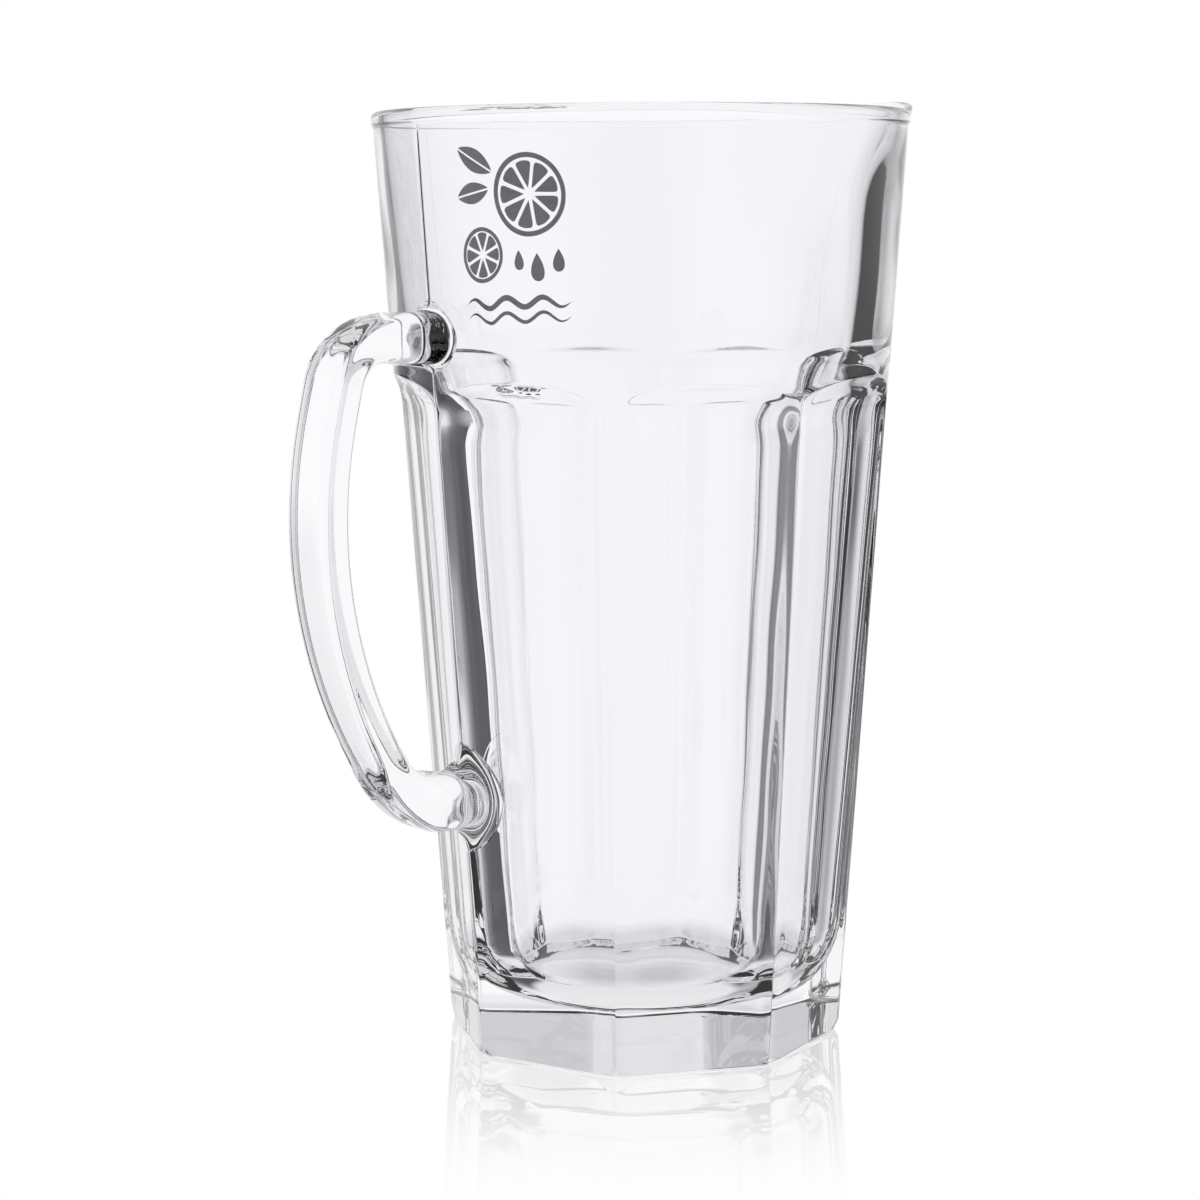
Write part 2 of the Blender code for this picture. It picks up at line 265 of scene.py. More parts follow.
def pull_spout(points):
    """Push points above SPOUT_BOTTOM outwards by cos^2 of their turn times a power of their climb."""
    radius = np.hypot(points[..., 0], points[..., 1])
    climb = np.clip((points[..., 2] - SPOUT_BOTTOM) / (RIM_HEIGHT - SPOUT_BOTTOM), 0.0, None)
    turn = np.abs(np.arctan2(points[..., 1], points[..., 0])) / SPOUT_HALF_ANGLE
    share = np.cos(0.5 * math.pi * np.clip(turn, 0.0, 1.0)) ** 2
    stretch = 1.0 + SPOUT_REACH * share * climb ** SPOUT_LEAN / radius
    pulled = points.copy()
    pulled[..., 0] *= stretch
    pulled[..., 1] *= stretch
    pulled[..., 2] += SPOUT_RISE * share * climb ** LIP_CURL
    return pulled


def bent_path(corners, arc_step):
    """Points of a path through (across, up, radius) corners, each bend an arc tangent to both sides."""
    spots = np.array([corner[:2] for corner in corners])
    runs = [spots[:1]]
    for before, spot, after, corner in zip(spots, spots[1:], spots[2:], corners[1:-1]):
        to_before = (before - spot) / np.linalg.norm(before - spot)
        to_after = (after - spot) / np.linalg.norm(after - spot)
        turn = math.pi - math.acos(float(np.clip(to_before @ to_after, -1.0, 1.0)))
        start = spot + to_before * corner[2] * math.tan(0.5 * turn)
        towards = (to_before + to_after) / np.linalg.norm(to_before + to_after)
        centre = spot + towards * corner[2] / math.cos(0.5 * turn)
        side = math.copysign(1.0, to_before[1] * to_after[0] - to_before[0] * to_after[1])
        swing = side * np.linspace(0.0, turn, max(3, math.ceil(turn / arc_step) + 1))
        spoke = start - centre
        across = np.cos(swing) * spoke[0] - np.sin(swing) * spoke[1]
        up = np.sin(swing) * spoke[0] + np.cos(swing) * spoke[1]
        runs.append(centre + np.stack((across, up), axis=1))
    runs.append(spots[-1:])
    return np.concatenate(runs)


def filled_path(path, longest):
    """The same path with points added evenly on each stretch that is longer than longest."""
    steps = np.maximum(1, np.ceil(np.linalg.norm(np.diff(path, axis=0), axis=1) / longest)).astype(int)
    stretch = np.repeat(np.arange(len(steps)), steps)
    first = np.repeat(np.cumsum(steps) - steps, steps)
    share = ((np.arange(len(stretch)) - first) / steps[stretch])[:, None]
    return np.concatenate((path[stretch] * (1.0 - share) + path[stretch + 1] * share, path[-1:]))


def path_lengths(path):
    """Length of the path up to each of its points."""
    return np.concatenate(([0.0], np.cumsum(np.linalg.norm(np.diff(path, axis=0), axis=1))))


def superellipse(turn, power, half_width, half_height):
    """Across and up of points: each half size times a power of the turn's cosine or sine, with its sign."""
    aside = half_width * np.sign(np.cos(turn)) * np.abs(np.cos(turn)) ** power
    lift = half_height * np.sign(np.sin(turn)) * np.abs(np.sin(turn)) ** power
    return aside, lift


def grid_numbers(points):
    """Point numbers of a grid of points, row by row."""
    return np.arange(points.shape[0] * points.shape[1]).reshape(points.shape[:2])


def grid_faces(numbers):
    """Quads between neighbouring rows and columns of a grid of point numbers."""
    corners = (numbers[:-1, :-1], numbers[:-1, 1:], numbers[1:, 1:], numbers[1:, :-1])
    return np.stack(corners, axis=-1)


def closed_ring(numbers):
    """The grid of point numbers with its first column repeated at the end, so that it closes on itself."""
    return np.concatenate((numbers, numbers[:, :1]), axis=1)


def fan_faces(pole, ring, pole_first):
    """Triangles from one point to a closed ring of points, marked by -1 as their fourth corner."""
    following = np.roll(ring, -1)
    middle = np.full_like(ring, pole)
    end = np.full_like(ring, -1)
    order = (middle, following, ring, end) if pole_first else (ring, following, middle, end)
    return np.stack(order, axis=-1)


def mesh_object(name, points, groups, materials):
    """An object at the origin from points and (faces, material number, smooth) groups."""
    faces = np.concatenate([group[0].reshape(-1, 4) for group in groups])
    sizes = [group[0].size // 4 for group in groups]
    corners = faces[faces >= 0].astype(np.int32)
    lengths = (faces >= 0).sum(axis=1)
    mesh = bpy.data.meshes.new(name)
    mesh.vertices.add(len(points))
    mesh.vertices.foreach_set("co", points.astype(np.float32).ravel())
    mesh.loops.add(len(corners))
    mesh.loops.foreach_set("vertex_index", corners)
    mesh.polygons.add(len(faces))
    mesh.polygons.foreach_set("loop_start", (np.cumsum(lengths) - lengths).astype(np.int32))
    mesh.polygons.foreach_set("material_index", np.repeat([g[1] for g in groups], sizes).astype(np.int32))
    mesh.update(calc_edges=True)
    mesh.polygons.foreach_set("use_smooth", np.repeat([g[2] for g in groups], sizes))
    mesh.validate()
    for material in materials:
        mesh.materials.append(material)
    item = bpy.data.objects.new(name, mesh)
    bpy.context.scene.collection.objects.link(item)
    return item


def on_outside(angle, height):
    """Points of the vessel's outside at an angle and height, before the spout is pulled."""
    radius = outer_radius(angle, height)
    return np.stack((radius * np.cos(angle), radius * np.sin(angle), height + 0.0 * angle), axis=-1)


def column_angles():
    """Angles of the columns, which crowd towards each ridge by a straight line plus a square."""
    share = np.arange(COLUMNS_PER_HALF_FACET + 1) / COLUMNS_PER_HALF_FACET
    half = ((1.0 - COLUMN_CROWDING) * share + COLUMN_CROWDING * share ** 2) * HALF_FACET
    facet = np.concatenate((half[:-1], FACET_STEP - half[:0:-1]))
    return (facet[None, :] + FACET_STEP * np.arange(FACETS)[:, None]).ravel()


def outer_heights(angles):
    """Heights of the outside's rows, and the first rows of the lower and the upper window.

    The rows are level, but those round a facet's top follow its arch.
    """
    level = np.concatenate((
        np.linspace(FOOT_EDGE_ROUNDING, FOOT_ROUNDING, FOOT_ROWS + 1)[1:],
        np.linspace(FOOT_ROUNDING, LOWER_WINDOW[0], SKIRT_ROWS + 1)[1:],
        np.linspace(*LOWER_WINDOW, WINDOW_ROWS + 1)[1:],
        np.linspace(LOWER_WINDOW[1], LEVEL_ROWS_END, FLANK_ROWS + 1)[1:],
    ))
    arch = arch_height(angles)[None, :]
    upper = np.concatenate((
        np.linspace(*UPPER_WINDOW, WINDOW_ROWS + 1)[1:],
        np.linspace(UPPER_WINDOW[1], RIM_HEIGHT - 2.0 * BEAD_HEIGHT, NECK_ROWS + 1)[1:],
    ))
    wide = np.ones_like(angles)[None, :]
    rows = (
        level[:, None] * wide,
        LEVEL_ROWS_END + (arch - LEVEL_ROWS_END) * ARCH_SHARES[:, None],
        arch + (UPPER_WINDOW[0] - arch) * ABOVE_ARCH_SHARES[:, None],
        upper[:, None] * wide,
    )
    lower_first = FOOT_ROWS + SKIRT_ROWS - 1
    upper_first = len(level) + len(ARCH_SHARES) + len(ABOVE_ARCH_SHARES) - 1
    return np.concatenate(rows), lower_first, upper_first


def turned_profile():
    """Radius and height from the bead's outer neck over the rim, down the inside and to the floor."""
    bead_bottom = RIM_HEIGHT - BEAD_HEIGHT
    middle = RIM_RADIUS - 0.5 * UPPER_WALL
    neck = bead_bottom - BEAD_NECK_ROUNDING
    start = RIM_HEIGHT - 2.0 * BEAD_HEIGHT
    corners = [
        (float(cone_radius(start)), start, 0.0),
        (float(cone_radius(neck)), neck, BEAD_NECK_ROUNDING),
        (middle + 0.5 * BEAD_THICKNESS, bead_bottom, BEAD_NECK_ROUNDING),
        (middle + 0.5 * BEAD_THICKNESS, RIM_HEIGHT, BEAD_ROUNDING),
        (middle - 0.5 * BEAD_THICKNESS, RIM_HEIGHT, BEAD_ROUNDING),
        (middle - 0.5 * BEAD_THICKNESS, bead_bottom, BEAD_NECK_ROUNDING),
        (float(cone_radius(neck)) - UPPER_WALL, neck, BEAD_NECK_ROUNDING),
        (float(cone_radius(SHOULDER_HIGH)) - SHOULDER_WALL, SHOULDER_HIGH, SHOULDER_ROUNDING),
        (float(facet_distance(SHOULDER_LOW)) - FACET_WALL, SHOULDER_LOW, SHOULDER_ROUNDING),
        (float(facet_distance(FLOOR_THICKNESS)) - FOOT_WALL, FLOOR_THICKNESS, FLOOR_FILLET),
        (0.0, FLOOR_THICKNESS, 0.0),
    ]
    path = bent_path(corners, PROFILE_ARC_STEP)
    keep = np.concatenate(([True], np.linalg.norm(np.diff(path, axis=0), axis=1) > PROFILE_SHORTEST))
    return filled_path(path[keep], PROFILE_LONGEST)


def spout_wall(angle, height):
    """How much thicker the upper wall is on the spout's side: a smooth step of the turn, eased in and out."""
    turn = np.abs(np.mod(angle + math.pi, FULL_TURN) - math.pi)
    fade = ease(height, RIM_HEIGHT - SPOUT_WALL_FADE, RIM_HEIGHT - BEAD_HEIGHT)
    share = ease(height, SHOULDER_LOW, SHOULDER_HIGH) * (1.0 - fade)
    return SPOUT_WALL_EXTRA * share * (1.0 - ease(turn, SPOUT_WALL_FULL_TO, SPOUT_WALL_ENDS))


def slow_waves(angle, height):
    """Slow waves left in the pressed inside: sines of turn and height, faded out at the floor and the rim."""
    climb = FULL_TURN * height
    waves = 0.0
    for share, turns, length, phase in WAVES:
        waves = waves + share * np.sin(turns * angle + climb / length + phase)
    return WAVE_HEIGHT * waves * ease(height, *WAVES_GROW) * (1.0 - ease(height, *WAVES_FADE))


class Joint:
    """One place where the handle is fused on, with its footprint on the vessel's outside."""

    def __init__(self, height, half_width, half_height, squareness):
        self.height = height
        self.half_width = half_width
        self.half_height = half_height
        self.power = 2.0 / squareness

    def footprint(self, turn, scale):
        """Angle and height of superellipse points round the joint, shrunk by scale."""
        aside, lift = superellipse(turn, self.power, self.half_width, self.half_height)
        return math.pi + scale * aside / cone_radius(self.height), self.height + scale * lift

    def middle(self):
        """The point of the outside that the footprint shrinks to."""
        return on_outside(np.array((math.pi,)), np.array((self.height,)))


UPPER_JOINT = Joint(
    UPPER_ARM_HEIGHT, 0.5 * HANDLE_WIDTH + UPPER_JOINT_FLARE,
    0.5 * UPPER_ARM_THICKNESS + UPPER_FOOT_FLARES * UPPER_JOINT_FLARE, UPPER_FOOT_SQUARENESS,
)
LOWER_JOINT = Joint(
    LOWER_ARM_HEIGHT, 0.5 * HANDLE_WIDTH + LOWER_JOINT_FLARE,
    0.5 * LOWER_ARM_THICKNESS + LOWER_FOOT_FLARES * LOWER_JOINT_FLARE, LOWER_FOOT_SQUARENESS,
)


def window_loop(grid, row, column):
    """The grid's values round a window, anticlockwise from its low left corner as seen from outside."""
    high, right = row + WINDOW_ROWS, column + 2 * WINDOW_COLUMNS
    return np.concatenate((
        grid[row, column:right], grid[row:high, right],
        grid[high, right:column:-1], grid[high:row:-1, column],
    ))


def window_turn(angles, heights, row, column):
    """Angle of each loop point seen from the window's middle, with the window taken as a square."""
    wide = np.broadcast_to(angles[None, :], heights.shape)
    aside = window_loop(wide, row, column) - math.pi
    lift = window_loop(heights, row, column)
    middle = 0.5 * (lift.max() + lift.min())
    return np.unwrap(np.arctan2((lift - middle) / (0.5 * np.ptp(lift)), aside / (0.5 * np.ptp(aside))))


def vessel_rows(angles, heights):
    """Rows of points from the underside up the outside, over the rim and down inside to the floor.

    Each is a ring of radius times the cosine and sine of the angle. The number of the outside's first row
    comes with them.
    """
    swing = np.radians(np.linspace(0.0, 90.0, FOOT_EDGE_ROWS))[:, None]
    edge = outer_radius(angles, np.full_like(angles, FOOT_EDGE_ROUNDING))[None, :]
    under = UNDERSIDE_SHARES[:, None] * (edge - FOOT_EDGE_ROUNDING)
    lip = edge - FOOT_EDGE_ROUNDING * (1.0 - np.sin(swing))
    lip_height = FOOT_EDGE_ROUNDING * (1.0 - np.cos(swing)) + 0.0 * edge
    wall = outer_radius(angles[None, :], heights)
    profile = turned_profile()[1:-1]
    inside = (np.arange(len(profile)) > profile[:, 1].argmax())[:, None]
    inward = spout_wall(angles[None, :], profile[:, 1:]) + slow_waves(angles[None, :], profile[:, 1:])
    turned = profile[:, :1] - inside * inward
    turned_height = profile[:, 1:] * np.ones_like(angles)[None, :]
    radius = np.concatenate((under, lip, wall, turned))
    height = np.concatenate((0.0 * under, lip_height, heights, turned_height))
    rows = np.stack((radius * np.cos(angles), radius * np.sin(angles), height), axis=-1)
    return pull_spout(rows), len(under) + len(lip)


def joint_patch(joint, angles, heights, row, column):
    """Rings that go evenly from a window's edge to the footprint, which then shrinks to its middle."""
    turn = window_turn(angles, heights, row, column)
    edge_angle = window_loop(np.broadcast_to(angles[None, :], heights.shape), row, column)
    edge_height = window_loop(heights, row, column)
    foot_angle, foot_height = joint.footprint(turn, 1.0)
    share = (np.arange(1, JOINT_RINGS + 1) / JOINT_RINGS)[:, None]
    rings = on_outside(edge_angle * (1.0 - share) + foot_angle * share,
                       edge_height * (1.0 - share) + foot_height * share)
    disc = on_outside(*joint.footprint(turn[None, :], SEAM_SCALES[:, None]))
    return np.concatenate((rings, disc))


def vessel_surface():
    """Points and face groups of the vessel: a grid of rows and columns with two windows for the joints.

    In each window, rings blend from its edge to the handle's footprint, and a disc of the footprint shrunk
    to its middle closes the seam.
    """
    angles = column_angles()
    heights, lower_row, upper_row = outer_heights(angles)
    rows, first_row = vessel_rows(angles, heights)
    numbers = grid_numbers(rows)
    points = [rows.reshape(-1, 3), np.array(((0.0, 0.0, 0.0), (0.0, 0.0, FLOOR_THICKNESS)))]
    total = numbers.size + 2
    faces = grid_faces(closed_ring(numbers))
    keep = np.ones(faces.shape[:2], bool)
    column = len(angles) // 2 - WINDOW_COLUMNS
    glass = [fan_faces(total - 2, numbers[0], True), fan_faces(total - 1, numbers[-1], False)]
    seams = []
    for joint, start in ((UPPER_JOINT, upper_row), (LOWER_JOINT, lower_row)):
        row = first_row + start
        keep[row:row + WINDOW_ROWS, column:column + 2 * WINDOW_COLUMNS] = False
        patch = joint_patch(joint, angles, heights, start, column)
        patch_numbers = total + grid_numbers(patch)
        total += patch_numbers.size + 1
        points += [patch.reshape(-1, 3), joint.middle()]
        loop = window_loop(numbers, row, column)[None, :]
        glass.append(grid_faces(closed_ring(np.concatenate((loop, patch_numbers[:JOINT_RINGS])))))
        seams.append(grid_faces(closed_ring(patch_numbers[JOINT_RINGS - 1:])))
        seams.append(fan_faces(total - 1, patch_numbers[-1], False))
    glass.append(faces[keep])
    groups = [(part, 0, True) for part in glass] + [(part, 1, True) for part in seams]
    return np.concatenate(points), groups


def handle_centre_line():
    """(Distance out, height) points of the handle's centre line between its fillets, dense at the groove."""
    upper_wall = float(cone_radius(UPPER_ARM_HEIGHT))
    lower_wall = float(cone_radius(LOWER_ARM_HEIGHT))
    corners = [
        (upper_wall + UPPER_FILLET_REACH, UPPER_ARM_HEIGHT, 0.0),
        (upper_wall + UPPER_ARM_REACH, UPPER_ARM_HEIGHT, UPPER_BEND_RADIUS),
        (float(cone_radius(BULGE_HEIGHT)) + BULGE_REACH, BULGE_HEIGHT, GRIP_RADIUS),
        (lower_wall + LOWER_ARM_REACH, LOWER_ARM_HEIGHT, LOWER_BEND_RADIUS),
        (lower_wall + LOWER_FILLET_REACH, LOWER_ARM_HEIGHT, 0.0),
    ]
    path = bent_path(corners, HANDLE_ARC_STEP)
    run = path_lengths(path)
    spread = np.linspace(-COLLAR_SPREAD, COLLAR_SPREAD, COLLAR_RINGS)
    collar = COLLAR_CLEARANCE - UPPER_FILLET_REACH + COLLAR_WIDTH * spread
    even = np.linspace(0.0, run[-1], HANDLE_RINGS - COLLAR_RINGS)
    places = np.sort(np.concatenate((even, collar)))
    return np.stack((np.interp(places, run, path[:, 0]), np.interp(places, run, path[:, 1])), axis=1)


def joint_turns():
    """Turns of the upper and the lower window's loop points, the lower ones in the order of the bar's end."""
    angles = column_angles()
    heights, lower_row, upper_row = outer_heights(angles)
    column = len(angles) // 2 - WINDOW_COLUMNS
    upper = window_turn(angles, heights, upper_row, column)
    lower = window_turn(angles, heights, lower_row, column)
    mirrored = (4 * WINDOW_COLUMNS + WINDOW_ROWS - np.arange(len(upper))) % len(upper)
    return upper, lower[mirrored]


def bar_turns(upper, lower, run):
    """Turn of each point of each ring: even on the grip, eased into the joints' own turns at both ends."""
    count = len(upper)
    even = -0.5 * math.pi + FULL_TURN * (np.arange(count) - WINDOW_COLUMNS) / count
    back = np.unwrap(-lower)
    back += FULL_TURN * np.round((upper[0] - back[0]) / FULL_TURN)
    near_upper = 1.0 - ease(run, 0.0, TURN_EASE_LENGTH)[:, None]
    near_lower = ease(run, run[-1] - TURN_EASE_LENGTH, run[-1])[:, None]
    return even + near_upper * (upper - even) + near_lower * (back - even)


def bar_rings(upper_turn, lower_turn):
    """Rings of the bar between its fillets, each a superellipse across the centre line.

    They are squarish on the grip and round at the joints. A fine groove, a squared cosine of the distance
    from its middle, runs round the bar near the upper joint.
    """
    path = handle_centre_line()
    out, up = path[:, 0], path[:, 1]
    run = path_lengths(path)
    way = np.gradient(path, run, axis=0)
    way /= np.linalg.norm(way, axis=1)[:, None]
    upper = ease(up, LOWER_ARM_HEIGHT, UPPER_ARM_HEIGHT)
    clear = out - cone_radius(up)
    arm_thickness = LOWER_ARM_THICKNESS + (UPPER_ARM_THICKNESS - LOWER_ARM_THICKNESS) * upper
    joint = 1.0 - ease(clear, JOINT_ROUND_TO, JOINT_SQUARE_FROM)
    arm = 1.0 - ease(clear, ARM_FULL_TO, GRIP_SLIM_FROM)
    off_groove = np.clip((clear - COLLAR_CLEARANCE) / (0.5 * COLLAR_WIDTH), -1.0, 1.0)
    groove = COLLAR_DEPTH * np.where(upper > 0.5, np.cos(0.5 * math.pi * off_groove) ** 2, 0.0)
    half_width = (0.5 * HANDLE_WIDTH - groove)[:, None]
    half_thickness = (0.5 * (GRIP_THICKNESS + (arm_thickness - GRIP_THICKNESS) * arm) - groove)[:, None]
    power = (2.0 / (GRIP_SQUARENESS + (JOINT_SQUARENESS - GRIP_SQUARENESS) * joint))[:, None]
    turn = bar_turns(upper_turn, lower_turn, run)
    aside, lift = superellipse(turn, power, half_width, half_thickness)
    return np.stack((-(out[:, None] - way[:, 1:] * lift), -aside, up[:, None] + way[:, :1] * lift), axis=-1)


def fillet_rings(foot, foot_way, bar, bar_way, steps):
    """Cubic curves from the footprint, leaving along the wall, to the bar's section, arriving along it."""
    reach = np.linalg.norm(bar - foot, axis=-1, keepdims=True)
    share = (np.arange(1, steps) / steps)[:, None, None]
    leave = share ** 3 - 2.0 * share ** 2 + share
    arrive = share ** 3 - share ** 2
    settle = 3.0 * share ** 2 - 2.0 * share ** 3
    return foot * (1.0 - settle) + bar * settle + leave * foot_way * reach + arrive * bar_way * reach


def bar_end(joint, turn, ring, steps):
    """Rings of one end: the footprint shrunk towards its middle, the footprint, and the fillet to the bar."""
    seam = on_outside(*joint.footprint(turn[None, :], SEAM_SCALES[:, None]))
    foot = on_outside(*joint.footprint(turn, 1.0))
    way = on_outside(*joint.footprint(turn, FOOT_WAY_SCALE)) - foot
    way /= np.linalg.norm(way, axis=1)[:, None]
    outwards = np.array((-1.0, 0.0, 0.0))
    return np.concatenate((seam[::-1], foot[None], fillet_rings(foot, way, ring, outwards, steps)))


def handle_surface():
    """Points and face groups of the handle: rings from the upper seam's middle to the lower seam's middle.

    Each end widens in a fillet to the footprint that the vessel has there.
    """
    upper_turn, lower_turn = joint_turns()
    bar = bar_rings(upper_turn, lower_turn)
    upper_end = bar_end(UPPER_JOINT, upper_turn, bar[0], UPPER_FILLET_STEPS)
    lower_end = bar_end(LOWER_JOINT, lower_turn, bar[-1], LOWER_FILLET_STEPS)
    body = np.concatenate((upper_end, bar, lower_end[::-1]))
    numbers = grid_numbers(body)
    faces = grid_faces(closed_ring(numbers))
    seam = len(SEAM_SCALES)
    first, last = numbers.size, numbers.size + 1
    groups = [
        (faces[seam:-seam], 0, True),
        (faces[:seam], 1, False),
        (faces[-seam:], 1, False),
        (fan_faces(first, numbers[0], True), 1, False),
        (fan_faces(last, numbers[-1], False), 1, False),
    ]
    return np.concatenate((body.reshape(-1, 3), UPPER_JOINT.middle(), LOWER_JOINT.middle())), groups


GLASS_INDEX = 1.52
GLASS_TINT = "#fbfbfd"


def pressed_glass(name):
    """Clear soda lime glass, pressed in a mould and fire polished.

    The eye gets a smooth, sharp surface that bends and mirrors light at an index of 1.52, with a faint cool
    tint that only shows where light passes many walls.
    """
    material = bpy.data.materials.new(name)
    material.use_nodes = True
    shader = material.node_tree.nodes["Principled BSDF"]
    shader.inputs["Base Color"].default_value = linear(GLASS_TINT)
    shader.inputs["Roughness"].default_value = 0.0
    shader.inputs["IOR"].default_value = GLASS_INDEX
    shader.inputs["Transmission Weight"].default_value = 1.0
    return material


def fused_seam():
    """Glass melted into glass: there is no boundary left, so light goes straight through."""
    material, tree = empty_material("fused_glass_seam")
    through = add_node(tree, "ShaderNodeBsdfTransparent", inputs={"Color": WHITE})
    add_node(tree, "ShaderNodeOutputMaterial", inputs={"Surface": through.outputs[0]})
    return material


seam_material = fused_seam()
vessel_glass = pressed_glass("clear_pressed_soda_lime_glass")
handle_glass = pressed_glass("clear_pressed_soda_lime_glass_handle")

vessel = mesh_object("vessel_glass_body", *vessel_surface(), [vessel_glass, seam_material])
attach(vessel, "root")
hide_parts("vessel")

handle = mesh_object("handle_glass_bar", *handle_surface(), [handle_glass, seam_material])
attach(handle, "root")
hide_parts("handle")


# Print: its place on the wall and its thickness above and below the surface, in metres
PRINT_AZIMUTH = math.radians(86.5)
PRINT_HEIGHT = 0.2035
PRINT_PROUD = 0.00006
PRINT_SUNK = 0.00003
PRINT_COLUMNS = 6
FINEST_HALF_WIDTH = 0.03 * MM

# Motifs, in millimetres across and up from the print's middle
SLICE_STEPS, WEDGE_STEPS, LEAF_STEPS, DROP_STEPS, RIPPLE_STEPS = 72, 24, 28, 30, 72
SLICES = ((-6.0, 9.5, 11.5, 1.4, 9), (11.0, -6.5, 7.4, 1.1, 8))  # across, up, radius, rind, segments
WEDGE_START, WEDGE_LENGTH = 0.15, 0.66  # shares of the radius
WEDGE_GAP = 0.4  # share of the rind
WEDGE_ROUNDING, WEDGE_BLUNTNESS = 0.98, 7
LEAVES = ((6.0, 15.5, 17.5, 21.5, 2.8), (7.5, 11.0, 19.0, 8.5, 2.5))  # base, tip, bulge
LEAF_VEIN = 0.25
LEAF_FULLNESS = 0.8
DROPS = ((-14.5, -11.5, 1.0), (-8.0, -14.0, 1.25), (-2.0, -11.0, 0.9))  # across, up, size
DROP_HEIGHT, DROP_BREADTH, DROP_BASE = 6.0, 4.4, 0.0001
RIPPLES = ((-19.5, 0.75), (-23.5, 0.5))  # up, half width
RIPPLE_REACH, RIPPLE_HEIGHT, RIPPLE_LENGTH, RIPPLE_TAPER = 18.0, 1.3, 12.0, 1.02

# Enamel: its two tones and the size of its mottle
ENAMEL_THICK = "#2c2d30"
ENAMEL_THIN = "#47484c"
ENAMEL_ROUGHNESS = 0.42
ENAMEL_INDEX = 1.5
MOTTLE_SIZE = 0.9 * MM
MOTTLE_DETAIL = 3.0


def on_print(flat, lift):
    """Flat (across, up) points wrapped round the outside: the angle is across over the radius."""
    height = PRINT_HEIGHT + flat[..., 1]
    radius = cone_radius(height) + lift
    angle = PRINT_AZIMUTH + flat[..., 0] / cone_radius(PRINT_HEIGHT)
    return np.stack((radius * np.cos(angle), radius * np.sin(angle), height), axis=-1)


def enamel_strip(left, right, closed=False):
    """A thin closed shell on the wall, in even steps from a left edge to a right edge."""
    share = np.linspace(0.0, 1.0, PRINT_COLUMNS + 1)[None, :, None]
    flat = left[:, None] * (1.0 - share) + right[:, None] * share
    loop = np.concatenate((on_print(flat, PRINT_PROUD), on_print(flat[:, ::-1], -PRINT_SUNK)), axis=1)
    numbers = grid_numbers(loop)
    rows = np.concatenate((numbers, numbers[:1])) if closed else numbers
    faces = [grid_faces(closed_ring(rows)).reshape(-1, 4)]
    if not closed:
        top, bottom = numbers[:, :PRINT_COLUMNS + 1], numbers[:, :PRINT_COLUMNS:-1]
        ends = np.stack((top[:, :-1], bottom[:, :-1], bottom[:, 1:], top[:, 1:]), axis=-1)
        faces += [ends[0], ends[-1][:, ::-1]]
    return loop.reshape(-1, 3), np.concatenate(faces)


def stroke(path, half):
    """A line along a path, its two edges half a width to either side, square to the path."""
    way = np.gradient(path, axis=0)
    way /= np.linalg.norm(way, axis=1, keepdims=True)
    side = np.stack((-way[:, 1], way[:, 0]), axis=1) * half[:, None]
    return enamel_strip(path + side, path - side)


def citrus_slice(centre, radius, rind, segments):
    """A round slice: a ring, and wedges whose half width grows along the spoke and rounds off at its ends."""
    turn = np.linspace(0.0, FULL_TURN, SLICE_STEPS, endpoint=False)
    circle = np.stack((np.cos(turn), np.sin(turn)), axis=1)
    shells = [enamel_strip(centre + (radius - rind) * circle, centre + radius * circle, True)]
    share = np.linspace(0.0, 1.0, WEDGE_STEPS)
    reach = radius * (WEDGE_START + WEDGE_LENGTH * share)
    half = np.maximum(reach * math.tan(math.pi / segments) - WEDGE_GAP * rind, FINEST_HALF_WIDTH)
    half *= np.sqrt(1.0 - WEDGE_ROUNDING * np.abs(2.0 * share - 1.0) ** WEDGE_BLUNTNESS)
    for spoke in np.linspace(0.0, FULL_TURN, segments, endpoint=False):
        way = np.array((math.cos(spoke), math.sin(spoke)))
        shells.append(stroke(centre + reach[:, None] * way, half))
    return shells


def leaf(base, tip, bulge, vein):
    """Two halves of a leaf beside its vein, each as wide as a power of the sine of the way to the tip."""
    share = np.linspace(0.0, 1.0, LEAF_STEPS)
    axis = base + share[:, None] * (tip - base)
    side = np.array((base[1] - tip[1], tip[0] - base[0])) / np.linalg.norm(tip - base)
    breadth = bulge * np.sin(math.pi * share) ** LEAF_FULLNESS
    far = (vein + breadth + FINEST_HALF_WIDTH)[:, None] * side
    return [enamel_strip(axis + far, axis + vein * side), enamel_strip(axis - vein * side, axis - far)]


def drop(across, up, size):
    """A drop: its half width is the root of the way up, times what is left of the way."""
    share = np.linspace(0.0, 1.0, DROP_STEPS)
    path = np.stack((across + 0.0 * share, up + DROP_HEIGHT * size * share), axis=1) * MM
    breadth = DROP_BREADTH * size * MM * np.sqrt(share + DROP_BASE) * (1.0 - share)
    return stroke(path, breadth + FINEST_HALF_WIDTH)


def ripple(up, weight):
    """A sine line that thins to its ends by a fourth power."""
    across = np.linspace(-RIPPLE_REACH, RIPPLE_REACH, RIPPLE_STEPS)
    height = up + RIPPLE_HEIGHT * np.sin(FULL_TURN * across / RIPPLE_LENGTH)
    taper = RIPPLE_TAPER - np.abs(across / RIPPLE_REACH) ** 4
    return stroke(np.stack((across, height), axis=1) * MM, weight * MM * taper)


def print_shells():
    """A plain citrus print: two slices, two leaves, three drops and two ripples."""
    shells = []
    for across, up, radius, rind, segments in SLICES:
        shells += citrus_slice(np.array((across, up)) * MM, radius * MM, rind * MM, segments)
    for *ends, bulge in LEAVES:
        shells += leaf(np.array(ends[:2]) * MM, np.array(ends[2:]) * MM, bulge * MM, LEAF_VEIN * MM)
    return shells + [drop(*row) for row in DROPS] + [ripple(*row) for row in RIPPLES]


